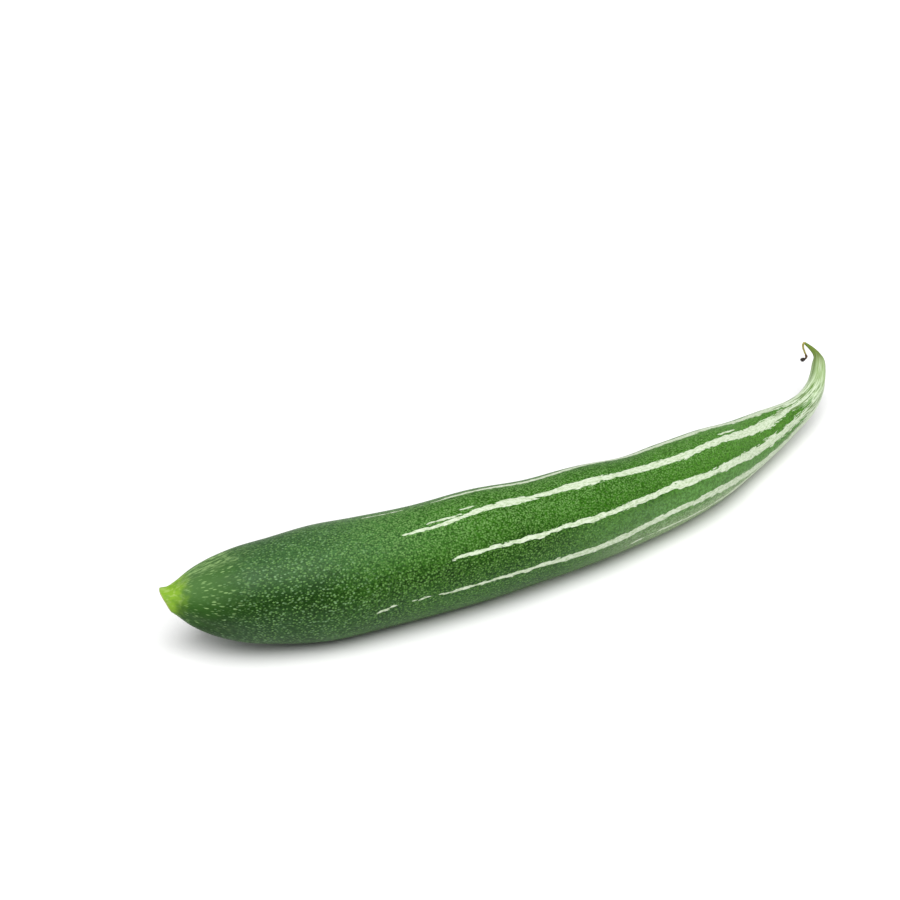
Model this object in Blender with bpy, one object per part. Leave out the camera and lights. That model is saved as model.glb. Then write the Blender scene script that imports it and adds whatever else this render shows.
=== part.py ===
"""A whole snake gourd, as picked, lying on a table.

The gourd is one solid: the fruit with the stub of its stalk. A second, tiny piece is the withered
flower that still hangs from its tip.

Run with: blender --background --python part.py
Metres, +Z up. The table is z = 0. The stalk end is at -X and the tip at +X, and the gourd bows out
towards -Y. The origin is on the table, under the middle of the box around both pieces.
"""
import math

import bmesh
import bpy
import numpy as np

MM = 0.001

# Length of the middle line, from the stub's face to the tip of the fruit
LENGTH = 377.5 * MM

# The fruit's radius along its middle line: distance from the stub's face, radius, both in mm
RADIUS_STATIONS = [
    (0, 4.1), (2, 4.4), (5, 6.1), (10, 9.6), (16, 12.9), (27, 17.2), (44, 20.6), (61, 22.6), (80, 22.5),
    (104, 22.3), (130, 22.2), (156, 20.7), (182, 20.1), (209, 18.1), (232, 17.5), (255, 16.0),
    (278, 12.8), (301, 9.8), (323, 6.5), (342, 4.7), (350, 3.9), (357, 3.4), (362, 3.0), (368, 1.8),
    (377.5, 0.6),
]

# How the gourd bows, seen from above: start and end of each bend in mm along the middle line, and
# its turn to the left in degrees. The tail is all but straight before the two bends of its hook.
BENDS = [
    (0, 84, 11), (68, 190, 10), (170, 274, 15), (258, 330, -0.8), (318, 366, 35), (362, 377.5, 51),
]
START_HEADING = math.radians(-26)

# The neck rises towards the stalk, and the tail lifts off the table towards the tip
BELLY_START = 80 * MM
NECK_RISE = 4.6 * MM
NECK_CURVE = 2.1
TAIL_START = 228 * MM
TAIL_RISE = 25.3 * MM
TAIL_CURVE = 2.5

# The belly is pressed this far into the table plane, which leaves a narrow flat to rest on
REST_DEPTH = 0.4 * MM

# The stub's face is not square to the stalk: its lower edge lies further in
STUB_SLANT = math.tan(math.radians(22))
STUB_SLANT_LENGTH = 13 * MM

# Low ridges run into the fruit from the stalk, and out to the tip. Each kind rises from nothing
# between two places along the middle line, and fades out again between two more.
NECK_RIDGES = 6
NECK_RIDGE_HEIGHT = 0.5 * MM
NECK_RIDGE_SPAN = [2 * MM, 14 * MM, 14 * MM, 52 * MM]
TIP_RIDGES = 5
TIP_RIDGE_HEIGHT = 0.25 * MM
TIP_RIDGE_SPAN = [290 * MM, 335 * MM, 350 * MM, LENGTH]

# A slow unevenness of the skin, left out of the underside so that the gourd lies steady
LUMP_HEIGHT = 0.2 * MM
LUMP_SPACING = 74 * MM

# The mesh: sides around the fruit, and the space between rings as a share of the radius there
SIDES = 40
RING_SPACING_SHARE = 0.45
RING_SPACING_LEAST = 1.6 * MM
RING_SPACING_MOST = 6.0 * MM
LINE_STEP = 0.5 * MM
MERGE_DISTANCE = 0.001 * MM

# The withered flower: its path from the tip in mm, as (sideways, down), and the radius in mm
# there. A thread comes first, then a small lobe and a larger one.
FLOWER_GAP = 0.3 * MM
FLOWER_SIDEWAYS = np.array([-0.8, 0.6, 0.0])
FLOWER_PATH = [
    (0.0, 0.0, 0.45), (0.5, -0.1, 0.45), (0.8, 0.5, 0.44), (0.8, 1.3, 0.42), (0.7, 2.2, 0.40),
    (0.4, 3.0, 0.36), (0.1, 3.9, 0.33), (-0.4, 5.0, 0.33), (-0.8, 5.9, 0.38), (-1.1, 6.6, 0.56),
    (-1.3, 7.0, 0.66), (-1.2, 7.5, 0.52), (-0.7, 8.0, 0.52), (-0.2, 8.3, 0.72), (0.4, 8.6, 0.86),
    (1.0, 8.5, 0.72), (1.4, 8.4, 0.34),
]
FLOWER_ROUNDNESS = 2

# Colours as linear RGB, and roughness
SKIN_GREEN = (0.055, 0.16, 0.035)
SKIN_ROUGHNESS = 0.42
WITHERED_BROWN = (0.06, 0.04, 0.012)
WITHERED_ROUGHNESS = 0.75
SHARP_ANGLE = math.radians(40)


def clear_scene():
    """Remove every object of the scene that the script is run in."""
    for obj in list(bpy.data.objects):
        bpy.data.objects.remove(obj, do_unlink=True)


def smooth_step(x, start, end):
    """Go from 0 at start to 1 at end with level ends."""
    t = np.clip((x - start) / (end - start), 0.0, 1.0)
    return t * t * (3 - 2 * t)


def rise_and_fade(x, rise_start, rise_end, fade_start, fade_end):
    """Go from 0 to 1 between the first two places, and back to 0 between the last two."""
    return smooth_step(x, rise_start, rise_end) * (1 - smooth_step(x, fade_start, fade_end))


def radius_at(x):
    """Radius of the fruit at x along its middle line, by a smooth cubic through the stations."""
    places, radii = np.array(RADIUS_STATIONS).T * MM
    slopes = np.gradient(radii, places)
    i = np.clip(np.searchsorted(places, x, side="right") - 1, 0, len(places) - 2)
    span = places[i + 1] - places[i]
    t = (x - places[i]) / span
    between = radii[i] + (radii[i + 1] - radii[i]) * t * t * (3 - 2 * t)
    return between + span * t * (1 - t) * (slopes[i] * (1 - t) - slopes[i + 1] * t)


def height_at(x):
    """Height of the middle line over the table."""
    belly_radius = radius_at(np.maximum(x, BELLY_START))
    neck = NECK_RISE * np.clip(1 - x / BELLY_START, 0, None) ** NECK_CURVE
    tail = TAIL_RISE * np.clip((x - TAIL_START) / (LENGTH - TAIL_START), 0, None) ** TAIL_CURVE
    return belly_radius - REST_DEPTH + neck + tail


def heading_at(x):
    """Direction of the middle line seen from above, as an angle from +X."""
    turns = [math.radians(turn) * smooth_step(x, start * MM, end * MM) for start, end, turn in BENDS]
    return START_HEADING + sum(turns)


class MiddleLine:
    """The curved middle line of the lying gourd."""

    def __init__(self):
        self.x = np.arange(0, LENGTH + LINE_STEP / 2, LINE_STEP)
        height = height_at(self.x)
        slope = np.gradient(height, self.x)
        run = np.sqrt(1 - slope ** 2)
        heading = heading_at(self.x)
        self.forward = np.stack([run * np.cos(heading), run * np.sin(heading), slope], axis=1)
        steps = (self.forward[1:, :2] + self.forward[:-1, :2]) / 2 * LINE_STEP
        self.point = np.zeros((len(self.x), 3))
        self.point[1:, :2] = np.cumsum(steps, axis=0)
        self.point[:, 2] = height

    def read(self, table, x):
        """Read a table of this line, its points or its directions, at each x."""
        return np.stack([np.interp(x, self.x, table[:, i]) for i in range(3)], axis=1)

    def bend(self, straight):
        """Move points of the straight gourd, which lies along +X, to their place on the bent one."""
        x, y, z = straight.T
        forward = self.read(self.forward, x)
        left = np.cross((0, 0, 1), forward)
        left /= np.linalg.norm(left, axis=1, keepdims=True)
        up = np.cross(forward, left)
        beyond = x - np.clip(x, 0, LENGTH)
        centre = self.read(self.point, x) + forward * beyond[:, None]
        return centre + left * y[:, None] + up * z[:, None]


def ring_places():
    """Places of the rings along the fruit, closer where it is thin."""
    places = [0.0]
    while places[-1] < LENGTH:
        spacing = RING_SPACING_SHARE * radius_at(places[-1])
        places.append(places[-1] + min(max(spacing, RING_SPACING_LEAST), RING_SPACING_MOST))
    return np.array(places) * LENGTH / places[-1]


def skin_relief(x, angle):
    """Height of the ridges and lumps over the round fruit, at an angle from its left side."""
    neck = NECK_RIDGE_HEIGHT * rise_and_fade(x, *NECK_RIDGE_SPAN) * np.cos(NECK_RIDGES * angle + 0.5)
    tip = TIP_RIDGE_HEIGHT * rise_and_fade(x, *TIP_RIDGE_SPAN) * np.cos(TIP_RIDGES * angle)
    fullness = radius_at(x) / radius_at(BELLY_START)
    upper_side = smooth_step(np.sin(angle), -0.9, 0.2)
    waves = np.sin(math.tau * x / LUMP_SPACING + 2 * angle) + np.cos(math.pi * x / LUMP_SPACING - angle)
    return neck + tip + LUMP_HEIGHT * fullness * upper_side * waves


def shape_straight_fruit(points):
    """Raise the ridges on the turned fruit and slant the stub's face."""
    x, y, z = points.T
    radius, angle = np.hypot(y, z), np.arctan2(z, y)
    on_skin = radius > MERGE_DISTANCE
    radius = np.where(on_skin, radius + skin_relief(x, angle), 0)
    z = radius * np.sin(angle)
    slant = STUB_SLANT * z * (1 - smooth_step(x, 0, STUB_SLANT_LENGTH))
    return np.stack([x - slant, radius * np.cos(angle), z], axis=1)


def turn_fruit():
    """Turn the fruit's outline about X, with a closed face at the stub and at the tip."""
    bm = bmesh.new()
    outline = [(0, 0)] + [(x, radius_at(x)) for x in ring_places()] + [(LENGTH, 0)]
    verts = [bm.verts.new((x, radius, 0)) for x, radius in outline]
    edges = [bm.edges.new(pair) for pair in zip(verts, verts[1:])]
    bmesh.ops.spin(bm, geom=verts + edges, cent=(0, 0, 0), axis=(1, 0, 0), angle=math.tau,
                   steps=SIDES, use_merge=True)
    bmesh.ops.remove_doubles(bm, verts=bm.verts, dist=MERGE_DISTANCE)
    return bm


def flatten_belly(bm):
    """Cut the belly off at the table plane and close the narrow flat that this leaves."""
    geometry = bm.verts[:] + bm.edges[:] + bm.faces[:]
    cut = bmesh.ops.bisect_plane(bm, geom=geometry, dist=MERGE_DISTANCE, plane_co=(0, 0, 0),
                                 plane_no=(0, 0, 1), clear_inner=True)
    rim = [item for item in cut["geom_cut"] if isinstance(item, bmesh.types.BMEdge)]
    bmesh.ops.holes_fill(bm, edges=rim, sides=0)


def add_to_scene(name, data, colour, roughness):
    """Make an object of a mesh or curve, with its own material."""
    material = bpy.data.materials.new(name)
    material.use_nodes = True
    shader = material.node_tree.nodes["Principled BSDF"]
    shader.inputs["Base Color"].default_value = (*colour, 1)
    shader.inputs["Roughness"].default_value = roughness
    shader.inputs["Metallic"].default_value = 0
    data.materials.append(material)
    obj = bpy.data.objects.new(name, data)
    bpy.context.scene.collection.objects.link(obj)
    return obj


def make_gourd(line):
    """The fruit with its stalk stub, one solid, with the flat that it rests on."""
    bm = turn_fruit()
    straight = np.array([vert.co for vert in bm.verts])
    bent = line.bend(shape_straight_fruit(straight))
    for vert, place in zip(bm.verts, bent):
        vert.co = place
    flatten_belly(bm)
    bmesh.ops.recalc_face_normals(bm, faces=bm.faces)
    mesh = bpy.data.meshes.new("gourd")
    bm.to_mesh(mesh)
    bm.free()
    mesh.shade_smooth()
    mesh.set_sharp_from_angle(angle=SHARP_ANGLE)
    return add_to_scene("gourd", mesh, SKIN_GREEN, SKIN_ROUGHNESS)


def make_withered_flower(line):
    """The dried flower: a thread from the tip that ends in two shrivelled lobes."""
    start = line.bend(np.array([[LENGTH + FLOWER_GAP, 0, 0]]))[0]
    curve = bpy.data.curves.new("withered_flower", "CURVE")
    curve.dimensions = "3D"
    curve.bevel_depth = MM
    curve.bevel_resolution = FLOWER_ROUNDNESS
    curve.use_fill_caps = True
    spline = curve.splines.new("POLY")
    spline.points.add(len(FLOWER_PATH) - 1)
    for point, (sideways, down, radius) in zip(spline.points, FLOWER_PATH):
        place = start + (FLOWER_SIDEWAYS * sideways - np.array([0, 0, down])) * MM
        point.co = (*place, 1)
        point.radius = radius
    return add_to_scene("withered_flower", curve, WITHERED_BROWN, WITHERED_ROUGHNESS)


def centre_on_origin(pieces):
    """Move the pieces together so that the middle of their box is over the origin."""
    bpy.context.view_layer.update()
    corners = np.array([corner[:] for piece in pieces for corner in piece.bound_box])
    middle = (corners.min(axis=0) + corners.max(axis=0)) / 2
    for piece in pieces:
        piece.location = (-middle[0], -middle[1], 0)


def main():
    """Build both pieces and set them on the origin."""
    clear_scene()
    line = MiddleLine()
    centre_on_origin([make_gourd(line), make_withered_flower(line)])


main()
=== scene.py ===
"""The looks of a whole snake gourd, as picked, lying on a pale table.

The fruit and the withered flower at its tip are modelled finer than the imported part's solids, which
they replace, on the same middle line and with the same radii. Specks, ragged pale stripes and the
colours of stalk and tip are nodes that read where a point lies on the straight, unbent fruit.
"""
import logging
import math
from collections.abc import Callable, Iterable, Sequence
from dataclasses import dataclass, field
from enum import Enum

import bmesh
import bpy
import numpy as np
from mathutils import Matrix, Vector, noise


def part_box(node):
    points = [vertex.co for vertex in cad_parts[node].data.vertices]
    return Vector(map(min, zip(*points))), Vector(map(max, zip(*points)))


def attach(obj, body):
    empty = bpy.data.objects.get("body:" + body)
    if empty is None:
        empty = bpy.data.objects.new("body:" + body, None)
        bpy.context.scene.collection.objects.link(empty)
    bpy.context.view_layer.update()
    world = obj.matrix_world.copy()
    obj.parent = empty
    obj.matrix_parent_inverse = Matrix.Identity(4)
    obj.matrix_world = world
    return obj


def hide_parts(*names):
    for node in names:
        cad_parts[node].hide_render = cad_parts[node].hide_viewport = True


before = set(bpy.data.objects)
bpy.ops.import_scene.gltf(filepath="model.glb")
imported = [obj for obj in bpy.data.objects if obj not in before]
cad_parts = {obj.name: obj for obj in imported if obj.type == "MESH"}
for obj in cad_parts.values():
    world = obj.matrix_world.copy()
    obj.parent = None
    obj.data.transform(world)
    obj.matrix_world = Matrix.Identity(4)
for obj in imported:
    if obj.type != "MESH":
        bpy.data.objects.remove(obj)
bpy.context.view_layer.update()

MM = 0.001
SAME_PLACE = 0.01 * MM
BODY = "root"
log = logging.getLogger("snake gourd")

Colour = tuple[float, float, float]
Pairs = Sequence[tuple[float, float]]


class End(Enum):
    """The two ends of a tube that is modelled along +X."""

    START = 0
    FINISH = 1


def shown(red: int, green: int, blue: int) -> Colour:
    """Give the linear colour of a colour as a screen shows it, each part from 0 to 255."""
    parts = [part / 255 for part in (red, green, blue)]
    return tuple(p / 12.92 if p <= 0.04045 else ((p + 0.055) / 1.055) ** 2.4 for p in parts)


def smooth_step(x: np.ndarray | float, start: float, end: float) -> np.ndarray:
    """Go from 0 at start to 1 at end with level ends."""
    t = np.clip((x - start) / (end - start), 0.0, 1.0)
    return t * t * (3 - 2 * t)


def cubic_read(x: np.ndarray | float, places: np.ndarray, values: np.ndarray) -> np.ndarray:
    """Read values at x by a smooth cubic through those at known places.

    Args:
        x: where to read.
        places: the known places, in rising order.
        values: the value at each of them.

    Returns:
        The value at each x.
    """
    slopes = np.gradient(values, places)
    i = np.clip(np.searchsorted(places, x, side="right") - 1, 0, len(places) - 2)
    span = places[i + 1] - places[i]
    t = (x - places[i]) / span
    between = values[i] + (values[i + 1] - values[i]) * t * t * (3 - 2 * t)
    return between + span * t * (1 - t) * (slopes[i] * (1 - t) - slopes[i + 1] * t)


def lengths_along(points: np.ndarray) -> np.ndarray:
    """Give the length of a line of points from its start to each of them."""
    return np.concatenate([[0], np.cumsum(np.linalg.norm(np.diff(points, axis=0), axis=1))])


def unit(rows: np.ndarray) -> np.ndarray:
    """Bring each row of three numbers to length 1."""
    return rows / np.linalg.norm(rows, axis=1, keepdims=True)


def rise_and_fade(x: np.ndarray, rise_start: float, rise_end: float, fade_start: float,
                  fade_end: float) -> np.ndarray:
    """Go from 0 to 1 between the first two places, and back to 0 between the last two."""
    return smooth_step(x, rise_start, rise_end) * (1 - smooth_step(x, fade_start, fade_end))


def deselect_all() -> None:
    """Leave edit mode and deselect every object."""
    if bpy.context.mode != "OBJECT":
        bpy.ops.object.mode_set(mode="OBJECT")
    bpy.ops.object.select_all(action="DESELECT")


def pick(obj: bpy.types.Object) -> None:
    """Make one object the only selected one and the active one."""
    deselect_all()
    obj.select_set(True)
    bpy.context.view_layer.objects.active = obj


def apply_modifier(obj: bpy.types.Object, kind: str, **settings: object) -> None:
    """Change the active object's mesh by a modifier of one kind with some settings."""
    modifier = obj.modifiers.new(kind.lower(), kind)
    for name, value in settings.items():
        setattr(modifier, name, value)
    bpy.ops.object.modifier_apply(modifier=modifier.name)


def select_edges(obj: bpy.types.Object, wanted: Callable[[bmesh.types.BMEdge], bool]) -> None:
    """Select some edges of the object that is in edit mode, and nothing else.

    Args:
        obj: the object in edit mode.
        wanted: says of an edge whether it is to be selected.
    """
    bpy.ops.mesh.select_mode(type="EDGE")
    bpy.ops.mesh.select_all(action="DESELECT")
    shape = bmesh.from_edit_mesh(obj.data)
    for edge in filter(wanted, shape.edges):
        edge.select_set(True)
    bmesh.update_edit_mesh(obj.data)


def read_points(obj: bpy.types.Object) -> np.ndarray:
    """Give the places of a mesh's vertices, one row each."""
    flat = np.empty(len(obj.data.vertices) * 3)
    obj.data.vertices.foreach_get("co", flat)
    return flat.reshape(-1, 3)


def move_points(obj: bpy.types.Object, points: np.ndarray) -> None:
    """Put a mesh's vertices at new places, one row each."""
    obj.data.vertices.foreach_set("co", points.ravel())
    obj.data.update()


def store_on_points(obj: bpy.types.Object, name: str, values: np.ndarray) -> None:
    """Keep a vector or a number for each vertex, for the material to read.

    Args:
        obj: the mesh object.
        name: the attribute's name.
        values: one row of three numbers, or one number, for each vertex.
    """
    is_vector = values.ndim == 2
    attribute = obj.data.attributes.new(name, "FLOAT_VECTOR" if is_vector else "FLOAT", "POINT")
    attribute.data.foreach_set("vector" if is_vector else "value", values.ravel())


def add_tube(name: str, sides: int, cuts: Sequence[int], radius: float, length: float,
             cap_shares: dict[End, Sequence[float]]) -> bpy.types.Object:
    """Model a straight tube along +X from the origin, with even rings and closed ends.

    Args:
        name: the object's name.
        sides: faces around the tube.
        cuts: how many pieces each round of subdivision makes of every piece of its length.
        radius: the tube's radius.
        length: its length.
        cap_shares: for each end, the radii of the rings that close it, as shares of the radius.

    Returns:
        The tube, with its vertices where the object's shape is worked out from.
    """
    deselect_all()
    bpy.ops.mesh.primitive_cylinder_add(vertices=sides, radius=radius, depth=length, end_fill_type="NOTHING",
                                        location=(length / 2, 0, 0), rotation=(0, math.pi / 2, 0))
    tube = bpy.context.object
    tube.name = name
    bpy.ops.object.transform_apply(location=True, rotation=True, scale=True)
    bpy.ops.object.mode_set(mode="EDIT")
    for pieces in cuts:
        select_edges(tube, runs_along_x)
        bpy.ops.mesh.subdivide(number_cuts=pieces - 1)
    for end, shares in cap_shares.items():
        close_end(tube, end.value * length, shares)
    bpy.ops.mesh.select_all(action="SELECT")
    bpy.ops.mesh.normals_make_consistent(inside=False)
    bpy.ops.object.mode_set(mode="OBJECT")
    bpy.ops.object.shade_smooth()
    return tube


def runs_along_x(edge: bmesh.types.BMEdge) -> bool:
    """Say whether an edge lies along the tube."""
    start, end = (vert.co for vert in edge.verts)
    return abs(start.x - end.x) > max(abs(start.y - end.y), abs(start.z - end.z))


def close_end(tube: bpy.types.Object, x: float, shares: Sequence[float]) -> None:
    """Close one end of a tube in edit mode with ever smaller rings, and merge the last one.

    Args:
        tube: the tube, along +X.
        x: the place of the open end.
        shares: radii of the rings, as shares of the tube's radius, from the outside in.
    """
    select_edges(tube, lambda edge: edge.is_boundary and abs(edge.verts[0].co.x - x) < SAME_PLACE)
    outer = 1.0
    for share in shares:
        bpy.ops.mesh.extrude_region_move()
        step = share / outer
        bpy.ops.transform.resize(value=(1, step, step), center_override=(x, 0, 0))
        outer = share
    bpy.ops.mesh.merge(type="CENTER")


@dataclass
class MiddleLine:
    """The curved middle line of the lying gourd, with the fruit's radius along it, in metres.

    Attributes:
        radius_stations: mm along the line, each with the fruit's radius there in mm.
        bends: for each bend, the mm along the line where it starts and ends, and its turn to the
            left in degrees.
        rest_depth: how far the belly is pressed flat by the table.
        point: the line's points, one row for each x.
        forward: its direction at each x.
    """

    length: float = 377.5 * MM
    step: float = 0.5 * MM
    radius_stations: Pairs = (
        (0, 4.1), (2, 4.4), (5, 6.1), (10, 9.6), (16, 12.9), (27, 17.2), (44, 20.6), (61, 22.6), (80, 22.5),
        (104, 22.3), (130, 22.2), (156, 20.7), (182, 20.1), (209, 18.1), (232, 17.5), (255, 16.0),
        (278, 12.8), (301, 9.8), (323, 6.5), (342, 4.7), (350, 3.9), (357, 3.4), (362, 3.0), (368, 1.8),
        (377.5, 0.6),
    )
    bends: Sequence[tuple[float, float, float]] = (
        (0, 84, 11), (68, 190, 10), (170, 274, 15), (258, 330, -0.8), (318, 366, 35), (362, 377.5, 51),
    )
    start_heading: float = math.radians(-26)
    belly_start: float = 80 * MM
    neck_rise: float = 4.6 * MM
    neck_curve: float = 2.1
    tail_start: float = 228 * MM
    tail_rise: float = 25.3 * MM
    tail_curve: float = 2.5
    rest_depth: float = 0.4 * MM
    x: np.ndarray = field(init=False)
    point: np.ndarray = field(init=False)
    forward: np.ndarray = field(init=False)

    def __post_init__(self) -> None:
        """Work out the line's points and directions."""
        self.x = np.arange(0, self.length + self.step / 2, self.step)
        height = self.height_at(self.x)
        slope = np.gradient(height, self.x)
        run = np.sqrt(1 - slope ** 2)
        heading = self.heading_at(self.x)
        self.forward = np.stack([run * np.cos(heading), run * np.sin(heading), slope], axis=1)
        steps = (self.forward[1:, :2] + self.forward[:-1, :2]) / 2 * self.step
        self.point = np.zeros((len(self.x), 3))
        self.point[1:, :2] = np.cumsum(steps, axis=0)
        self.point[:, 2] = height

    def radius_at(self, x: np.ndarray | float) -> np.ndarray:
        """Give the fruit's radius at x along the line."""
        places, radii = np.array(self.radius_stations).T * MM
        return cubic_read(x, places, radii)

    def height_at(self, x: np.ndarray) -> np.ndarray:
        """Give the line's height over the table at x along it."""
        belly_radius = self.radius_at(np.maximum(x, self.belly_start))
        neck = self.neck_rise * np.clip(1 - x / self.belly_start, 0, None) ** self.neck_curve
        past_start = np.clip((x - self.tail_start) / (self.length - self.tail_start), 0, None)
        return belly_radius - self.rest_depth + neck + self.tail_rise * past_start ** self.tail_curve

    def heading_at(self, x: np.ndarray) -> np.ndarray:
        """Give the line's direction seen from above, as an angle from +X."""
        turns = [math.radians(turn) * smooth_step(x, start * MM, end * MM) for start, end, turn in self.bends]
        return self.start_heading + sum(turns)

    def read(self, table: np.ndarray, x: np.ndarray) -> np.ndarray:
        """Read the line's points or its directions at each x."""
        return np.stack([np.interp(x, self.x, table[:, i]) for i in range(3)], axis=1)

    def bend(self, straight: np.ndarray) -> np.ndarray:
        """Move points of the straight gourd, along +X, to their place on the bent one.

        Args:
            straight: one row for each point of the straight gourd.

        Returns:
            The rows of the bent gourd, which starts over the origin.
        """
        x, y, z = straight.T
        forward = self.read(self.forward, x)
        left = unit(np.cross((0, 0, 1), forward))
        up = np.cross(forward, left)
        beyond = x - np.clip(x, 0, self.length)
        centre = self.read(self.point, x) + forward * beyond[:, None]
        return centre + left * y[:, None] + up * z[:, None]


class Socket:
    """A value in a material. Python's operators on it add Math nodes."""

    def __init__(self, graph: "Graph", source: bpy.types.NodeSocket) -> None:
        """Wrap one output of a node."""
        self.graph = graph
        self.source = source

    def beside(self, name: str) -> "Socket":
        """Give another output of the same node."""
        return Socket(self.graph, self.source.node.outputs[name])

    def __add__(self, other: "Value") -> "Socket":
        """Add."""
        return self.graph.math("ADD", self, other)

    def __sub__(self, other: "Value") -> "Socket":
        """Subtract."""
        return self.graph.math("SUBTRACT", self, other)

    def __mul__(self, other: "Value") -> "Socket":
        """Multiply."""
        return self.graph.math("MULTIPLY", self, other)

    def __truediv__(self, other: "Value") -> "Socket":
        """Divide."""
        return self.graph.math("DIVIDE", self, other)

    def __abs__(self) -> "Socket":
        """Drop the sign."""
        return self.graph.math("ABSOLUTE", self)


Value = Socket | float | tuple[float, ...]


class Graph:
    """The nodes of one material."""

    def __init__(self, name: str) -> None:
        """Start a material that holds only its shader and output."""
        self.material = bpy.data.materials.new(name)
        self.material.use_nodes = True
        self.tree = self.material.node_tree
        self.shader = self.tree.nodes["Principled BSDF"]

    def add(self, kind: str, settings: dict[str, object], inputs: dict[int | str, Value],
            output: int | str = 0) -> Socket:
        """Add one node.

        Args:
            kind: the node's type.
            settings: its settings.
            inputs: values or links of its sockets, by name or number.
            output: which of its outputs to give back.

        Returns:
            That output.
        """
        node = self.tree.nodes.new(kind)
        for name, value in settings.items():
            setattr(node, name, value)
        for key, value in inputs.items():
            self.feed(node.inputs[key], value)
        return Socket(self, node.outputs[output])

    def feed(self, target: bpy.types.NodeSocket, value: Value) -> None:
        """Link a socket's value to an input, or set the input to a plain value."""
        if isinstance(value, Socket):
            self.tree.links.new(value.source, target)
        elif target.type == "RGBA":
            target.default_value = (*value[:3], 1)
        else:
            target.default_value = value

    def finished(self, inputs: dict[str, Value]) -> bpy.types.Material:
        """Feed the shader's inputs and give the finished material."""
        for name, value in inputs.items():
            self.feed(self.shader.inputs[name], value)
        return self.material

    def math(self, operation: str, *values: Value) -> Socket:
        """Add a Math node on one to three values."""
        return self.add("ShaderNodeMath", {"operation": operation}, dict(enumerate(values)))

    def smooth(self, value: Socket, start: float, end: float) -> Socket:
        """Go from 0 where value is start to 1 where it is end, with level ends."""
        inputs = {"Value": value, "From Min": start, "From Max": end}
        return self.add("ShaderNodeMapRange", {"interpolation_type": "SMOOTHSTEP"}, inputs)

    def mix(self, share: Value, first: Value, second: Value, blend: str = "MIX") -> Socket:
        """Blend two colours.

        Args:
            share: how much of the second colour.
            first: a colour, plain or linked.
            second: a colour, plain or linked.
            blend: the way in which the second is laid on the first.

        Returns:
            The blended colour.
        """
        settings = {"data_type": "RGBA", "blend_type": blend}
        return self.add("ShaderNodeMix", settings, {0: share, 6: first, 7: second}, output=2)

    def layers(self, colour: Value, *coats: tuple[Value, Value]) -> Socket:
        """Lay colours over one another.

        Args:
            colour: the lowest one, plain or linked.
            coats: for each one over it, how much it covers and the colour itself.

        Returns:
            The colour that shows.
        """
        for share, coat in coats:
            colour = self.mix(share, colour, coat)
        return colour

    def noise(self, place: Socket, detail: float = 2.0, roughness: float = 0.5) -> Socket:
        """Add soft noise about 0, whose lumps are about one unit of place across."""
        inputs = {"Vector": place, "Scale": 1.0, "Detail": detail, "Roughness": roughness}
        return self.add("ShaderNodeTexNoise", {}, inputs) - 0.5

    def bump(self, height: Socket, strength: float, distance: float) -> Socket:
        """Give the normals of a bumpy surface, whose bumps are up to distance metres high."""
        return self.add("ShaderNodeBump", {}, {"Strength": strength, "Distance": distance, "Height": height})

    def curve(self, value: Socket, points: Pairs, span: float) -> Socket:
        """Look a value up in a curve of straight runs.

        Args:
            value: where to look, from 0 to span.
            points: places from 0 to span with what the curve gives there.
            span: the last place that the curve can hold.

        Returns:
            What the curve gives at value.
        """
        heights = [height for _, height in points]
        low, high = min(heights) - 1, max(heights) + 1
        share = self.add("ShaderNodeFloatCurve", {}, {"Value": value / span})
        mapping = share.source.node.mapping
        bends = mapping.curves[0].points
        for _ in points:
            bends.new(0.5, 0.5)
        for bend, (place, height) in zip(bends, [(0, heights[0]), *points, (span, heights[-1])]):
            bend.location = (place / span, (height - low) / (high - low))
            bend.handle_type = "VECTOR"
        mapping.update()
        return share * (high - low) + low


@dataclass(frozen=True)
class Stripe:
    """One pale stripe.

    Attributes:
        route: its middle, as mm along the fruit and degrees around it from the left side.
        half_width: half its width in mm, along the fruit; below 0 the stripe is broken.
    """

    route: Pairs
    half_width: Pairs


@dataclass(frozen=True)
class SpeckLayer:
    """Specks of one size on the skin.

    Attributes:
        spacing: about the width of the space that each speck has to itself, in mm.
        size: a speck's half width in mm.
        stretch: how much longer a speck is than it is wide.
        share: how much of its colour shows.
        ends: for each end of the layer, mm along the fruit where none and where all of it shows.
        colour: its colour, or None for that of the dots, which is lighter on top of the fruit as painted
            light from above.
    """

    spacing: float
    size: float
    stretch: float
    share: float
    ends: Pairs
    colour: Colour | None = None


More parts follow.
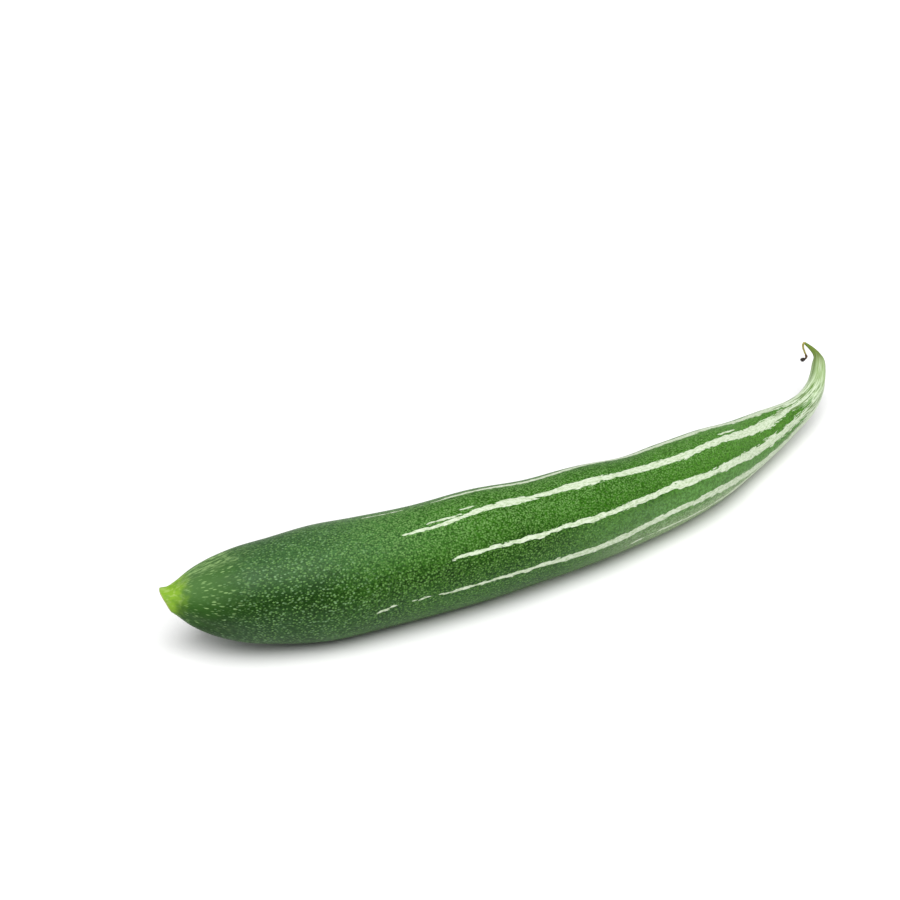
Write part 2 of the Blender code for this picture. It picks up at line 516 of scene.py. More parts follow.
@dataclass
class SkinPlace:
    """Where a point of the skin lies on the straight fruit, as values of one material.

    Attributes:
        graph: the material's nodes.
        length: the fruit's length in mm.
        full_radius: its radius in mm where it is thickest.
        rest: the point itself in mm.
        along: mm from the stub's face.
        radius: mm from the middle line.
        angle: degrees around it, from the left side, with the top at 90.
        side: the point's direction from the middle line, sideways and up.
    """

    graph: Graph
    length: float
    full_radius: float = 22.0
    rest: Socket = field(init=False)
    along: Socket = field(init=False)
    radius: Socket = field(init=False)
    angle: Socket = field(init=False)
    side: tuple[Socket, Socket] = field(init=False)

    def __post_init__(self) -> None:
        """Read the straight place that the mesh keeps for each vertex."""
        kept = self.graph.add("ShaderNodeAttribute", {"attribute_name": "rest"}, {}, "Vector")
        self.rest = self.graph.add("ShaderNodeVectorMath", {"operation": "SCALE"}, {0: kept, "Scale": 1 / MM})
        self.along = self.graph.add("ShaderNodeSeparateXYZ", {}, {0: self.rest})
        left, up = self.along.beside("Y"), self.along.beside("Z")
        self.radius = self.graph.math("SQRT", left * left + up * up)
        self.angle = self.graph.math("ARCTAN2", up, left) * math.degrees(1)
        self.side = (left / self.radius, up / self.radius)

    def past(self, start: float, end: float, drift: Socket | None = None) -> Socket:
        """Go from 0 at start to 1 at end, in mm along the fruit, with mm of drift to make it uneven."""
        return self.graph.smooth(self.along if drift is None else self.along + drift, start, end)

    def upward(self, start: float, end: float) -> Socket:
        """Go from 0 to 1 by how far up the skin faces, from -1 under the fruit to 1 on top of it."""
        return self.graph.smooth(self.side[1], start, end)

    def fade(self, value: Socket, *ends: tuple[float, float]) -> Socket:
        """Fade a value out at some ends, each as mm along the fruit where none and all of it is left."""
        for nothing, full in ends:
            value = value * self.past(nothing, full)
        return value

    def across(self, middle: Value) -> Socket:
        """Give the signed distance in mm around the skin from an angle in degrees."""
        turn = self.graph.math("WRAP", self.angle - middle, 180.0, -180.0)
        return turn * self.radius * math.radians(1)

    def drawn_out(self, length: float, width: float) -> Socket:
        """Give a place counted in cells of a length along the fruit and a width that narrows with it."""
        spread = self.full_radius / width
        axes = {"X": self.along / length, "Y": self.side[0] * spread, "Z": self.side[1] * spread}
        return self.graph.add("ShaderNodeCombineXYZ", {}, axes)

    def streaks(self, length: float, width: float, **settings: float) -> Socket:
        """Give noise that is drawn out along the fruit and narrows with it.

        Args:
            length: a streak's length in mm.
            width: its width in mm where the fruit is thickest.
            settings: the noise's detail and roughness.

        Returns:
            Noise about 0.
        """
        return self.graph.noise(self.drawn_out(length, width), **settings)

    def scaled(self, length: float, width: float) -> Socket:
        """Give the place on the straight fruit counted in cells of a length along it and a width."""
        inputs = {0: self.rest, 1: (1 / length, 1 / width, 1 / width)}
        return self.graph.add("ShaderNodeVectorMath", {"operation": "MULTIPLY"}, inputs)

    def specks(self, layer: SpeckLayer) -> Socket:
        """Give how much the specks of a layer cover, each with its own strength, and 0 between them."""
        cells = self.drawn_out(layer.spacing * layer.stretch, layer.spacing)
        inputs = {"Vector": cells, "Scale": 1.0, "Randomness": 1.0}
        distance = self.graph.add("ShaderNodeTexVoronoi", {}, inputs, "Distance")
        strength = self.graph.add("ShaderNodeSeparateXYZ", {}, {0: distance.beside("Color")})
        edge = layer.size / layer.spacing
        specks = self.graph.smooth(distance, edge * 1.25, edge * 0.55) * (strength * 0.7 + 0.3)
        return self.fade(specks, *layer.ends) * layer.share


@dataclass(frozen=True)
class StripePattern:
    """The ragged pale stripes that run from the belly to the tip."""

    seen: tuple[Stripe, ...] = (
        Stripe(
            route=((95, 76), (118, 75), (150, 76), (180, 70), (215, 68), (245, 72), (285, 76), (310, 76)),
            half_width=(
                (78, -1), (84, 0.2), (97, 0.3), (106, -0.3), (118, 0.8), (150, 1.2), (200, 1.5), (245, 1.8),
                (285, 1.9), (300, 2.2), (312, 2.5), (326, 2.8), (338, 4),
            ),
        ),
        Stripe(
            route=(
                (92, 116.5), (117, 113), (125, 110), (140, 108), (160, 106.5), (182, 108.5), (212, 108.5),
                (225, 112), (256, 113), (270, 117), (292, 120), (310, 111),
            ),
            half_width=(
                (90, -1), (92, 0), (96, 0.6), (125, 0.9), (132, 1.1), (140, 1.8), (150, 1.15), (160, 0.9),
                (171, 2.0), (178, 2.0), (187, 1.4), (200, 1.7), (212, 1.4), (225, 1.7), (240, 1.3),
                (255, 1.6), (270, 1.8), (286, 2.2), (296, 2.0), (310, 1.6), (322, 1.3), (333, 1.6), (342, 3),
            ),
        ),
        Stripe(route=((103, 110), (120, 109)), half_width=((101, -1), (104, 0.3), (118, 0.5), (122, -1))),
        Stripe(route=((118, 103), (126, 103)), half_width=((116, -1), (119, 0.3), (125, 0.3), (128, -1))),
        Stripe(route=((240, 102.5), (270, 103)), half_width=((252, -1), (256, 0.3), (267, 0.4), (270, -1))),
        Stripe(
            route=(
                (107, 153), (112, 151.5), (120, 152), (147, 152), (160, 149.5), (170, 152), (187, 151),
                (200, 148), (212, 145.4), (225, 149.4), (250, 153), (270, 156.6), (300, 159.6), (320, 155),
            ),
            half_width=(
                (105, -1), (107, 0), (112, 0.7), (120, 0.5), (147, 0.9), (155, 0.5), (165, 1.2), (178, 0.9),
                (190, 1.3), (202, 1.0), (212, 1.2), (225, 1.6), (237, 1.2), (250, 1.5), (262, 1.7),
                (276, 1.6), (288, 2.0), (300, 1.5), (320, 1.4), (330, 1.6), (342, 3),
            ),
        ),
        Stripe(
            route=(
                (76, 190), (84, 185.5), (97, 185), (107, 187), (130, 187.5), (150, 187.5), (172, 190),
                (188, 187.5), (200, 182.7), (212, 179.4), (240, 180.6), (260, 186), (270, 191), (300, 202),
            ),
            half_width=(
                (73, -1), (76, 0.35), (83, 0.4), (86, -0.3), (97, 0.3), (100, -0.5), (103, 0.4), (120, 0.7),
                (140, 0.8), (150, 1.1), (172, 1.5), (188, 1.4), (225, 1.1), (240, 1.5), (270, 1.7),
                (290, 2.3), (310, 2.6), (322, 3.0), (336, 4),
            ),
        ),
        Stripe(
            route=((185, 211), (200, 204), (212, 203), (240, 206), (270, 208)),
            half_width=((180, -1), (190, 0.2), (215, 0.5), (240, 0.6), (255, 1.2), (280, 2)),
        ),
    )
    hidden_angles: tuple[float, ...] = (245, 283, 320, 357, 32)
    hidden_starts: tuple[float, ...] = (84, 111, 93, 120, 102)
    hidden_route: range = range(100, 320, 20)
    hidden_body: range = range(130, 290, 12)
    wander: float = 3
    swell: float = 0.35

    def hidden(self, number: int) -> Stripe:
        """Make up one of the stripes on the sides that the photograph doesn't show."""
        angle, start = self.hidden_angles[number], self.hidden_starts[number]
        route = [(x, angle + self.wander * math.sin(1.7 * number + x / 23)) for x in self.hidden_route]
        widths = [(start - 4, -1), (start, 0.1), (start + 10, 0.6)]
        for x in self.hidden_body:
            wider = 0.007 * (x - self.hidden_body.start)
            widths.append((x, 0.9 + wider + self.swell * math.sin(2.3 * number + x / 11)))
        widths += [(300, 2.8), (330, 4)]
        return Stripe(route=route, half_width=widths)

    def depth(self, place: SkinPlace) -> Socket:
        """Give how far in mm a point lies inside a stripe, or below 0 outside all of them."""
        graph, deepest = place.graph, None
        for stripe in (*self.seen, *map(self.hidden, range(len(self.hidden_angles)))):
            middle = graph.curve(place.along, stripe.route, place.length)
            half_width = graph.curve(place.along, stripe.half_width, place.length)
            inside = half_width - abs(place.across(middle))
            deepest = inside if deepest is None else graph.math("MAXIMUM", deepest, inside)
        return deepest

    def mask(self, place: SkinPlace) -> Socket:
        """Give 1 on a stripe and 0 beside it, with torn, drawn-out edges."""
        torn = place.streaks(9.0, 2.2, detail=4.0, roughness=0.7) * 2.6 + place.streaks(3.4, 1.1) * 2.0
        more_torn = place.past(240, 330) * 0.9 + 1
        return place.graph.smooth(self.depth(place) + torn * more_torn, -0.12, 0.18)


@dataclass(frozen=True)
class SkinFinish:
    """The waxy skin: greens, specks, stripes, stalk stub and tip, with painted light: a lighter top and
    sheen, and the table's reflection and bounce light on the underside.
    """

    deep_green: Colour = shown(18, 44, 8)
    bright_green: Colour = shown(42, 88, 14)
    neck_green: Colour = shown(14, 38, 8)
    shoulder_green: Colour = shown(46, 83, 29)
    # painted sheen: lighter colour for the top of the shoulder, as lit from above
    shoulder_top_sheen: Colour = shown(112, 150, 92)
    side_green: Colour = shown(104, 146, 88)
    tail_green: Colour = shown(80, 130, 48)
    # painted bounce light: paler colour for the underside of the back half, as lit by the table
    flank_bounce_light: Colour = shown(146, 166, 128)
    # real waxy bloom colour, also laid as a painted sheen on top and a painted reflection of the table
    # underneath
    bloom_and_sheen: Colour = shown(78, 112, 76)
    dot: Colour = shown(77, 120, 48)
    small_speck: Colour = shown(112, 154, 86)
    speck: Colour = shown(118, 154, 108)
    speck_layers: tuple[SpeckLayer, ...] = (
        SpeckLayer(0.80, 0.28, 1.2, share=0.80, ends=((30, 90),)),
        SpeckLayer(0.85, 0.37, 1.2, share=0.85, ends=((50, 100), (330, 250))),
        SpeckLayer(0.90, 0.33, 1.3, share=0.70, ends=((16, 40), (240, 140)), colour=small_speck),
        SpeckLayer(1.15, 0.32, 1.6, share=0.80, ends=((4, 14), (100, 55)), colour=speck),
    )
    dash: Colour = shown(142, 176, 112)
    dashes: SpeckLayer = SpeckLayer(1.45, 0.40, 2.2, share=0.75, ends=((4, 8),))
    ridge_angle: float = 74
    grain_low: float = 0.70
    grain_high: float = 1.32
    stripe: Colour = shown(202, 213, 190)
    stripe_shade: Colour = shown(150, 172, 128)
    tail_pale: Colour = shown(200, 216, 184)
    tail_streak: Colour = shown(110, 144, 76)
    tail_rip: Colour = shown(78, 112, 40)
    tail_line: Colour = shown(218, 230, 204)
    # painted bounce light: near-white colour for the underside of the tail and hook, as lit by the table
    tail_bounce_light: Colour = shown(234, 243, 228)
    hook_green: Colour = shown(130, 158, 92)
    hook_angle: float = 118
    tip_olive: Colour = shown(98, 118, 44)
    stub: Colour = shown(120, 158, 46)
    stub_line: Colour = shown(142, 172, 82)
    stub_shade: Colour = shown(92, 132, 44)
    stub_face: Colour = shown(158, 178, 96)
    stub_dry: Colour = shown(150, 152, 88)
    face_ring: float = 0.42
    roughness: float = 0.42
    coat: float = 0.03
    coat_roughness: float = 0.3
    specular: float = 0.05

    def greens(self, place: SkinPlace) -> Socket:
        """Give the green of the skin, without its specks and stripes, with painted light: lighter and hazier
        on top as if lit from above, greyer and paler underneath as the table's reflection and bounce light.
        """
        graph = place.graph
        upper, lower = place.upward(0.30, 0.95), place.upward(0.30, -0.30)
        patches = graph.noise(place.scaled(26, 15), detail=3.0)
        # painted light: upper makes the top of the fruit lighter, as if lit from above; the lightening along
        # the fruit toward the tail is its own colour
        lighter = upper * 0.42 + place.past(130, 210) * 0.16 + place.past(210, 260) * 0.1
        waxy = graph.smooth(graph.noise(place.scaled(18, 9), detail=2.0), 0.02, 0.22)
        # the waxy noise is real patchy bloom; upper adds a painted sheen on top and lower a painted
        # reflection of the pale table underneath
        waxy_and_sheen_cover = waxy * 0.12 + upper * 0.34 + lower * 0.26
        side = graph.smooth(abs(place.side[1] - 0.1), 0.5, 0.15)
        underside = graph.smooth(place.side[1] + patches * 0.3, 0.12, -0.40)
        return graph.layers(
            self.deep_green,
            (graph.smooth(patches * 0.6 + lighter, -0.18, 0.44), self.bright_green),
            (place.past(100, 34, patches * 60) * 0.60, self.neck_green),
            (place.fade(waxy_and_sheen_cover, (12, 30), (130, 60)), self.bloom_and_sheen),
            # painted reflection of the pale table on the lower side of the belly
            (place.fade(lower, (60, 130)) * 0.28, self.bloom_and_sheen),
            (place.fade(side, (130, 220)) * 0.55, self.side_green),
            (place.past(180, 290, patches * 60) * 0.55, self.tail_green),
            # painted bounce light from the table on the underside of the back half
            (place.fade(underside, (150, 230)) * 0.9, self.flank_bounce_light),
        )

    def specked(self, place: SkinPlace, green: Socket) -> Socket:
        """Lay a fine grain and the specks on the green, larger and clearer near the neck."""
        graph = place.graph
        light = graph.smooth(graph.noise(place.scaled(1.2, 0.9), detail=2.0, roughness=0.6), -0.13, 0.13)
        grain = graph.mix(light, (self.grain_low,) * 3, (self.grain_high,) * 3)
        grained = graph.mix(1.0, green, grain, "MULTIPLY")
        green = graph.mix(place.past(20, 110) * 0.45 + 0.55, green, grained)
        # painted light: dots on top of the fruit take the lighter small-speck colour, as if lit from above
        dot = graph.mix(place.upward(0.45, 0.95), self.dot, self.small_speck)
        coats = ((place.specks(layer), layer.colour or dot) for layer in self.speck_layers)
        return graph.layers(green, *coats)

    def striped(self, place: SkinPlace, green: Socket, stripes: Socket) -> Socket:
        """Lay the pale stripes on the specked green."""
        graph = place.graph
        shade = graph.smooth(place.streaks(1.9, 0.8, detail=3.0, roughness=0.7), -0.12, 0.20)
        pale = graph.mix(shade * 0.85, self.stripe, self.stripe_shade)
        return graph.mix(stripes, green, pale)

    def tailed(self, place: SkinPlace, colour: Socket) -> Socket:
        """Turn the colour to the streaked pale green of the tail and the olive of the tip, with painted
        bounce light from the table on the tail's underside.
        """
        graph = place.graph
        lines = graph.smooth(place.streaks(20.0, 2.6, detail=4.0, roughness=0.7), -0.06, 0.12)
        bright = graph.smooth(place.streaks(30.0, 4.6, detail=2.0), 0.03, 0.16)
        edges = graph.smooth(abs(place.angle - self.hook_angle), 34, 64)
        pale = graph.layers(
            self.tail_pale,
            (lines * 0.9, self.tail_streak),
            (place.past(336, 356, lines * 8) * 0.6, self.hook_green),
            (bright * 0.9, self.tail_line),
            (place.fade(edges, (338, 354)) * 0.55, self.tail_streak),
            # painted bounce light from the table on the underside of the tail
            (place.upward(0.15, -0.35) * 0.9, self.tail_bounce_light),
        )
        drift, torn = place.streaks(30.0, 12.0, detail=2.0), place.streaks(9.0, 2.0, detail=3.0)
        rips = graph.smooth(place.streaks(13.0, 2.8, detail=3.0), 0.03, 0.10) * place.upward(-0.3, 0.1)
        return graph.layers(
            colour,
            (place.past(322, 345, drift * 30 + torn * 40), pale),
            (place.fade(rips, (286, 318), (352, 336)) * 0.85, self.tail_rip),
            (place.past(352, 372, drift * 24 + torn * 12) * 0.95, self.tip_olive),
        )

    def necked(self, place: SkinPlace, colour: Socket) -> Socket:
        """Lighten the shoulder, with a painted sheen on its top, a streaked ridge and dashes, and turn it to
        the green of the stub.
        """
        graph, upper = place.graph, place.side[1]
        lines = graph.noise(place.scaled(5.0, 3.0), detail=3.0)
        ridge = place.fade(graph.smooth(abs(place.angle - self.ridge_angle), 38, 12), (6, 10), (36, 22))
        ridge = ridge * graph.smooth(place.streaks(3.4, 1.5, detail=3.0, roughness=0.6), -0.10, 0.20)
        dashes = place.specks(self.dashes) * place.past(34, 14, upper * -8.0)
        fibres = graph.noise(place.scaled(4.0, 1.2), detail=2.0) + upper * 0.1
        patches = graph.smooth(graph.noise(place.scaled(5.0, 2.4), detail=2.0), 0.0, 0.18)
        stub = graph.layers(
            self.stub,
            (graph.smooth(fibres, 0.06, 0.24), self.stub_line),
            (patches * 0.6, self.stub_shade),
        )
        return graph.layers(
            colour,
            (place.past(32, 4, lines * 22 - upper * 6) * 0.9, self.shoulder_green),
            # painted sheen on the top of the shoulder, as lit from above
            (place.fade(place.upward(0.1, 0.8), (34, 10)) * 0.28, self.shoulder_top_sheen),
            (ridge * 0.85, self.dash),
            (dashes, self.dash),
            (place.past(9.8, 2.2, lines * 7 - upper * 1.6), stub),
        )

    def faced(self, place: SkinPlace, colour: Socket) -> Socket:
        """Lay the pale, ringed cut face on the end of the stub."""
        graph = place.graph
        core = graph.add("ShaderNodeAttribute", {"attribute_name": "core"}, {}, "Fac")
        ring = graph.smooth(abs(core - self.face_ring), 0.14, 0.04)
        rim = graph.smooth(core + graph.noise(place.scaled(1, 1)) * 0.1, 0.16, 0.02)
        face = graph.layers(self.stub_face, (ring * 0.5, self.stub), (rim * 0.7, self.stub_dry))
        return graph.mix(place.fade(graph.smooth(core, 0.0, 0.02), (20, 10)), colour, face)

    def material(self, length: float, pattern: StripePattern) -> bpy.types.Material:
        """Make the skin's material.

        Args:
            length: the fruit's length in metres.
            pattern: the stripes.

        Returns:
            The material, for a mesh that keeps its straight places as rest and its cut face as core.
        """
        graph = Graph("waxy_striped_skin")
        place = SkinPlace(graph, length / MM)
        stripes = pattern.mask(place)
        colour = self.striped(place, self.specked(place, self.greens(place)), stripes)
        colour = self.necked(place, self.tailed(place, colour))
        grain = graph.noise(place.scaled(0.9, 0.7), detail=2.0)
        return graph.finished({
            "Base Color": self.faced(place, colour),
            "Roughness": stripes * 0.06 + grain * 0.2 + self.roughness,
            "Normal": graph.bump(grain, 0.25, 0.06 * MM),
            "Specular IOR Level": self.specular,
            "Coat Weight": self.coat,
            "Coat Roughness": self.coat_roughness,
        })


@dataclass(frozen=True)
class Ridges:
    """Lengthwise ridges around part of the fruit.

    Attributes:
        number: how many there are around it.
        height: their height.
        span: where along the fruit they begin, are full, begin to fade and end.
        turn: how far they are turned around it, in radians of one ridge.
    """

    number: int
    height: float
    span: tuple[float, float, float, float]
    turn: float = 0.0

    def relief(self, x: np.ndarray, angle: np.ndarray) -> np.ndarray:
        """Give their height at places along the fruit and angles around it."""
        return self.height * rise_and_fade(x, *self.span) * np.cos(self.number * angle + self.turn)


@dataclass
class Fruit:
    """The gourd itself, from the cut face of its stub to its tip."""

    line: MiddleLine
    finish: SkinFinish = SkinFinish()
    pattern: StripePattern = StripePattern()
    sides: int = 144
    cuts: tuple[int, int] = (25, 25)
    end_crowding: float = 0.55
    stub_rings: tuple[float, ...] = (0.985, 0.95, 0.88, 0.76, 0.6, 0.4, 0.2)
    tip_rings: tuple[float, ...] = (0.8, 0.5, 0.25)
    stub_bulge: float = 1.2 * MM
    stub_pull: float = 1.9 * MM
    tip_bulge: float = 0.5 * MM
    stub_slant: float = math.tan(math.radians(33))
    stub_slant_length: float = 16 * MM
    ridges: tuple[Ridges, ...] = (
        Ridges(6, 0.5 * MM, (2 * MM, 14 * MM, 14 * MM, 52 * MM), turn=0.5),
        Ridges(5, 0.25 * MM, (290 * MM, 335 * MM, 350 * MM, 377.5 * MM)),
        Ridges(5, 0.18 * MM, (-20 * MM, -10 * MM, 5 * MM, 11 * MM)),
    )
    lump_height: float = 0.2 * MM
    lump_spacing: float = 74 * MM

    def relief(self, x: np.ndarray, angle: np.ndarray) -> np.ndarray:
        """Give the height of the ridges and lumps over the round fruit.

        Args:
            x: places along the fruit.
            angle: angles around it from its left side.

        Returns:
            The height at each of them.
        """
        ridged = sum(part.relief(x, angle) for part in self.ridges)
        fullness = self.line.radius_at(x) / self.line.radius_at(self.line.belly_start)
        upper_side = smooth_step(np.sin(angle), -0.9, 0.2)
        waves = np.sin(math.tau * x / self.lump_spacing + 2 * angle)
        waves += np.cos(math.pi * x / self.lump_spacing - angle)
        return ridged + self.lump_height * fullness * upper_side * waves

    def straight_places(self, tube_points: np.ndarray, tube_radius: float) -> tuple[np.ndarray, np.ndarray]:
        """Shape the plain tube into the straight fruit.

        Args:
            tube_points: the tube's vertices.
            tube_radius: the tube's radius.

        Returns:
            The vertices of the straight fruit, and how far in each lies on an end, from 0 to 1.
        """
        t, y, z = tube_points.T / [[self.line.length], [1], [1]]
        share, angle = np.hypot(y, z) / tube_radius, np.arctan2(z, y)
        x = self.line.length * (t - self.end_crowding * np.sin(math.tau * t) / math.tau)
        lean = self.stub_slant * share * np.sin(angle) * self.line.radius_at(0)
        x = x + (self.stub_pull - lean) * (1 - smooth_step(x, 0, self.stub_slant_length))
        radius = share * (self.line.radius_at(x) + self.relief(x, angle))
        dome = np.sqrt(np.clip(1 - share ** 2, 0, 1))
        x = x + dome * np.where(t > 0.5, self.tip_bulge, -self.stub_bulge)
        straight = np.stack([x, radius * np.cos(angle), radius * np.sin(angle)], axis=1)
        return straight, 1 - np.minimum(share, 1)

    def build(self) -> bpy.types.Object:
        """Model the fruit and dress it.

        Returns:
            The fruit, with the belly flat on the table, over its own start and not yet in place.
        """
        tube_radius = float(self.line.radius_at(self.line.belly_start))
        rings = {End.START: self.stub_rings, End.FINISH: self.tip_rings}
        fruit = add_tube("snake_gourd_fruit", self.sides, self.cuts, tube_radius, self.line.length, rings)
        straight, core = self.straight_places(read_points(fruit), tube_radius)
        store_on_points(fruit, "rest", straight)
        store_on_points(fruit, "core", core)
        bent = self.line.bend(straight)
        bent[:, 2] = np.maximum(bent[:, 2], 0)
        move_points(fruit, bent)
        fruit.data.materials.append(self.finish.material(self.line.length, self.pattern))
        return fruit


@dataclass(frozen=True)
class WitheredFinish:
    """Dried plant tissue, from an olive thread to brown-black lobes."""

    olive: Colour = shown(156, 148, 70)
    brown: Colour = shown(84, 56, 26)
    black: Colour = shown(34, 24, 16)
    roughness: float = 0.75

    def material(self) -> bpy.types.Material:
        """Make the material, for a mesh that keeps its distance from the fruit in mm as reach."""
        graph = Graph("withered_tissue")
        reach = graph.add("ShaderNodeAttribute", {"attribute_name": "reach"}, {}, "Fac")
        spot = graph.add("ShaderNodeTexCoord", {}, {}, "Object")
        fine = graph.add("ShaderNodeVectorMath", {"operation": "SCALE"}, {0: spot, "Scale": 1 / (0.5 * MM)})
        patches = graph.noise(fine, detail=3.0)
        colour = graph.layers(
            self.olive,
            (graph.smooth(reach + patches * 3, 7.4, 8.8), self.brown),
            (graph.smooth(reach + patches * 2, 10.0, 11.2), self.black),
        )
        roughness = patches * 0.3 + self.roughness
        normal = graph.bump(patches, 0.5, 0.05 * MM)
        return graph.finished({"Base Color": colour, "Roughness": roughness, "Normal": normal})


@dataclass
class WitheredFlower:
    """The dried flower that hangs from the tip: a wrinkled thread, two lobes and shrunken petals.

    Attributes:
        line: the gourd's middle line.
        sideways: the level direction in which the path's first number counts.
        path: mm sideways, mm down and radius in mm, from the tip.
        wrinkles: for each set around the thread, their number, their height as a share of its radius
            and how far they twist from its one end to the other, in radians of one wrinkle.
        fold_start: mm along the thread where its surface begins to crumple and where it fully does.
    """

    line: MiddleLine
    finish: WitheredFinish = WitheredFinish()
    gap: float = 0.3 * MM
    sideways: tuple[float, float, float] = (-0.8, 0.6, 0.0)
    path: Sequence[tuple[float, float, float]] = (
        (0.0, 0.0, .50), (0.5, -0.1, .52), (0.8, 0.5, .52), (0.8, 1.3, .50), (0.7, 2.2, .48), (0.4, 3.0, .46),
        (0.1, 3.9, .44), (-0.4, 5.0, .44), (-0.8, 5.9, .46), (-1.1, 6.6, .58), (-1.3, 7.0, .66),
        (-1.2, 7.5, .54), (-0.7, 8.0, .56), (-0.2, 8.3, .78), (0.4, 8.6, .92), (1.0, 8.5, .78),
        (1.5, 8.4, .40),
    )
    root_depth: float = 1.2 * MM
    sides: int = 16
    cuts: tuple[int, int] = (12, 12)
    tube_length: float = 10 * MM
    caps: tuple[float, ...] = (0.6, 0.3)
    facing: tuple[float, float, float] = (0.6, 0.8, 0.1)
    wrinkles: tuple[tuple[int, float, float], ...] = ((3, 0.16, 40), (5, 0.1, -25))
    direction_step: float = 0.01
    reach_samples: int = 160
    voxel: float = 0.07 * MM
    petals: int = 5
    petal_length: float = 1.7 * MM
    petal_width: float = 0.7 * MM
    petal_thickness: float = 0.16 * MM
    petal_root: float = 0.93
    petal_grid: tuple[int, int] = (14, 6)
    petal_folds: float = 0.12 * MM
    fold_size: float = 0.55 * MM
    fold_depth: float = 0.22 * MM
    fold_level: float = 0.45
    fold_start: tuple[float, float] = (7.8, 9.2)

    def route(self) -> tuple[np.ndarray, np.ndarray]:
        """Give the thread's middle line and its radii, from inside the tip to the last lobe."""
        ends = np.zeros((2, 3))
        ends[:, 0] = self.line.length + self.gap, self.line.length - self.root_depth
        tip, root = self.line.bend(ends)
        sideways, down, radii = np.array(self.path).T * MM
        hanging = tip + np.outer(sideways, self.sideways) - np.outer(down, (0, 0, 1))
        return np.vstack([root, hanging]), np.concatenate([[radii[0]], radii])

    def place_at(self, share: np.ndarray) -> tuple[np.ndarray, np.ndarray, np.ndarray]:
        """Read the route's place, direction and radius at shares of its length, from 0 to 1."""
        points, radii = self.route()
        lengths = lengths_along(points)
        table = np.column_stack([points, radii])

        def read(at: np.ndarray) -> np.ndarray:
            """Read a row of place and radius at each share, held level past both ends."""
            columns = [cubic_read(np.clip(at, 0, 1), lengths / lengths[-1], column) for column in table.T]
            return np.stack(columns, axis=1)

        step = self.direction_step
        forward = read(share + step)[:, :3] - read(share - step)[:, :3]
        return read(share)[:, :3], unit(forward), read(share)[:, 3]

    def thread(self) -> bpy.types.Object:
        """Model the thread with its two lobes as one wrinkled tube."""
        caps = dict.fromkeys(End, self.caps)
        tube = add_tube("withered_flower_fine", self.sides, self.cuts, MM, self.tube_length, caps)
        x, y, z = read_points(tube).T
        share, angle = x / self.tube_length, np.arctan2(z, y)
        place, forward, radius = self.place_at(share)
        side = unit(np.cross(forward, self.facing))
        up = np.cross(side, forward)
        waves = [height * np.cos(number * angle + twist * share) for number, height, twist in self.wrinkles]
        out = radius * sum(waves, 1.0) * np.hypot(y, z) / MM
        across = side * (out * np.cos(angle))[:, None] + up * (out * np.sin(angle))[:, None]
        move_points(tube, place + across)
        return tube

    def petal(self, number: int) -> bpy.types.Object:
        """Model one shrunken, curled petal on the larger lobe."""
        deselect_all()
        lengthwise, crosswise = self.petal_grid
        bpy.ops.mesh.primitive_grid_add(x_subdivisions=lengthwise, y_subdivisions=crosswise, size=1)
        petal = bpy.context.object
        along, across, _ = (read_points(petal) + 0.5).T
        across -= 0.5
        turn = math.tau * number / self.petals + 0.4
        curl = 1.6 * along + 0.5 * math.sin(2.1 * number)
        width = self.petal_width * (0.35 + 1.3 * along * (1.15 - along))
        root = self.place_at(np.array([self.petal_root]))[0][0]
        outward = np.array([math.cos(turn), math.sin(turn), 0.35 * math.cos(3 * turn)])
        sideways = np.array([-math.sin(turn), math.cos(turn), 0.2])
        reach = self.petal_length * (0.45 * np.sin(curl))[:, None] * outward
        drop = self.petal_length * (along * 0.55 + 0.12 * np.sin(5 * along + number))[:, None] * (0, 0, -1)
        folds = (self.petal_folds * np.cos(9 * across + number))[:, None] * outward
        move_points(petal, root + reach + drop + folds + (width * across)[:, None] * sideways)
        apply_modifier(petal, "SOLIDIFY", thickness=self.petal_thickness, offset=0)
        return petal

    def crumple(self, flower: bpy.types.Object) -> None:
        """Push the surface of the lobes in and out in small folds."""
        pick(flower)
        points, normals = read_points(flower), np.empty(len(flower.data.vertices) * 3)
        flower.data.vertices.foreach_get("normal", normals)
        folds = np.array([noise.turbulence(Vector(point / self.fold_size), 3, False) for point in points])
        wrinkled = smooth_step(self.reach(points), *self.fold_start)
        depth = wrinkled * self.fold_depth * (folds - self.fold_level)
        move_points(flower, points + normals.reshape(-1, 3) * depth[:, None])

    def reach(self, points: np.ndarray) -> np.ndarray:
        """Give the distance in mm along the route from the tip to the part of it that is nearest."""
        places = self.place_at(np.linspace(0, 1, self.reach_samples))[0]
        nearest = np.linalg.norm(points[:, None] - places[None], axis=2).argmin(axis=1)
        return lengths_along(places)[nearest] / MM

    def build(self) -> bpy.types.Object:
        """Model the flower as one skin and dress it.

        Returns:
            The flower, at the tip of the gourd that is not yet in place.
        """
        flower = self.thread()
        petals = [self.petal(number) for number in range(self.petals)]
        pick(flower)
        for petal in petals:
            petal.select_set(True)
        bpy.ops.object.join()
        apply_modifier(flower, "REMESH", mode="VOXEL", voxel_size=self.voxel)
        self.crumple(flower)
        apply_modifier(flower, "SMOOTH", iterations=2)
        bpy.ops.object.shade_smooth()
        store_on_points(flower, "reach", self.reach(read_points(flower)))
        flower.data.materials.append(self.finish.material())
        return flower


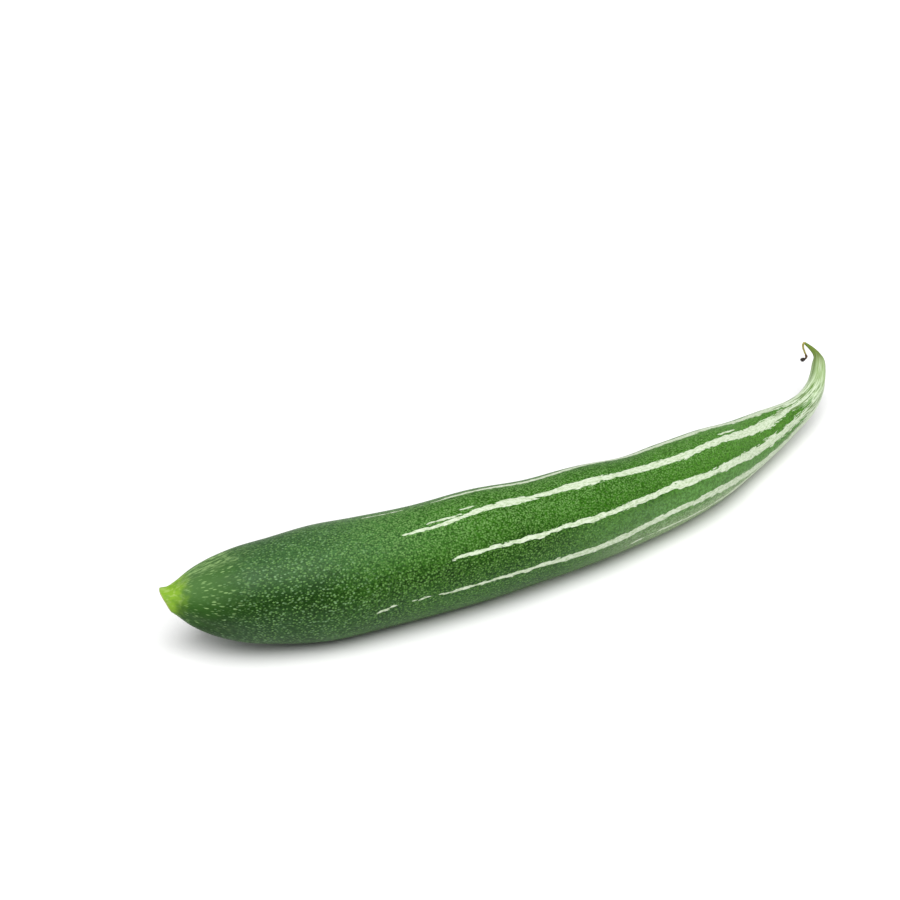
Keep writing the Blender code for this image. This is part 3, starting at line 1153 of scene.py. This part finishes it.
@dataclass
class SnakeGourd:
    """The whole part: the fruit and its withered flower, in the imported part's place."""

    line: MiddleLine = field(default_factory=MiddleLine)

    def into_place(self, pieces: Iterable[bpy.types.Object], fruit: bpy.types.Object) -> None:
        """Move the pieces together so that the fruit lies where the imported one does.

        Args:
            pieces: all the pieces.
            fruit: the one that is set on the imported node's place.
        """
        low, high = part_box("gourd")
        points = read_points(fruit)
        own_middle = (points.min(axis=0) + points.max(axis=0)) / 2
        shift = np.array([high.x - points.max(axis=0)[0], (low.y + high.y) / 2 - own_middle[1], 0])
        for piece in pieces:
            move_points(piece, read_points(piece) + shift)

    def build(self) -> None:
        """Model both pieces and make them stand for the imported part's nodes."""
        fruit = Fruit(self.line).build()
        flower = WitheredFlower(self.line).build()
        self.into_place((fruit, flower), fruit)
        for piece, node, slot in ((fruit, "gourd", "skin"), (flower, "withered_flower", "withered")):
            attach(piece, BODY)
            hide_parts(node)
            log.info("%s: %d faces", piece.name, len(piece.data.polygons))


@dataclass(frozen=True)
class Studio:
    """A pale table in soft white light, and the camera at the photograph's angle."""

    azimuth: float = math.radians(-38.79)
    elevation: float = math.radians(29.14)
    distance: float = 922.6 * MM
    aim: tuple[float, float, float] = (-9.1 * MM, 63.7 * MM, 18 * MM)
    lens: float = 85.0
    sensor: float = 36.0
    reach: tuple[float, float] = (0.05, 60.0)
    table_size: float = 14.0
    table_drop: float = 0.02 * MM
    table_white: Colour = (0.84, 0.84, 0.84)
    table_roughness: float = 0.9
    world_strength: float = 0.42
    soft_light_width: float = math.radians(50)
    soft_light_place: tuple[float, float, float] = (-0.95, -1.18, 2.85)
    soft_light_strength: float = 3.5

    def table(self) -> None:
        """Lay the table under the gourd."""
        deselect_all()
        bpy.ops.mesh.primitive_plane_add(size=self.table_size, location=(0, 0, -self.table_drop))
        table = bpy.context.object
        table.name = "table"
        surface = {"Base Color": self.table_white, "Roughness": self.table_roughness}
        table.data.materials.append(Graph("pale_table").finished({**surface, "Specular IOR Level": 0.0}))

    def light(self) -> None:
        """Light the scene from all round, in a room that looks white, and more from a wide patch above."""
        world = bpy.data.worlds.new("white_room")
        world.use_nodes = True
        tree = world.node_tree
        either, rays = (tree.nodes.new(f"ShaderNode{kind}") for kind in ("MixShader", "LightPath"))
        tree.links.new(rays.outputs["Is Camera Ray"], either.inputs[0])
        tree.links.new(either.outputs[0], tree.nodes["World Output"].inputs["Surface"])
        lit, seen = tree.nodes["Background"], tree.nodes.new("ShaderNodeBackground")
        for room, strength, socket in ((lit, self.world_strength, 1), (seen, 1.0, 2)):
            room.inputs["Color"].default_value = (1, 1, 1, 1)
            room.inputs["Strength"].default_value = strength
            tree.links.new(room.outputs[0], either.inputs[socket])
        bpy.context.scene.world = world
        bpy.ops.object.light_add(type="SUN", location=self.soft_light_place)
        lamp = bpy.context.object
        lamp.name = "soft_light"
        lamp.data.angle = self.soft_light_width
        lamp.data.energy = self.soft_light_strength
        lamp.rotation_euler = (-Vector(self.soft_light_place)).to_track_quat("-Z", "Y").to_euler()

    def camera(self) -> None:
        """Set the camera."""
        back = Vector((math.sin(self.azimuth) * math.cos(self.elevation),
                       -math.cos(self.azimuth) * math.cos(self.elevation), math.sin(self.elevation)))
        bpy.ops.object.camera_add(location=Vector(self.aim) + back * self.distance)
        camera = bpy.context.object
        camera.rotation_euler = (-back).to_track_quat("-Z", "Y").to_euler()
        camera.data.lens = self.lens
        camera.data.sensor_width = self.sensor
        camera.data.clip_start, camera.data.clip_end = self.reach
        bpy.context.scene.camera = camera
        bpy.context.scene.view_settings.view_transform = "Standard"

    def build(self) -> None:
        """Set up table, light and camera."""
        self.camera()
        self.table()
        self.light()


def main() -> None:
    """Set up the studio, build the gourd and log the face count of each piece."""
    logging.basicConfig(level=logging.INFO, format="%(name)s: %(message)s")
    Studio().build()
    log.info("studio ready")
    SnakeGourd().build()


if __name__ == "__main__":
    main()
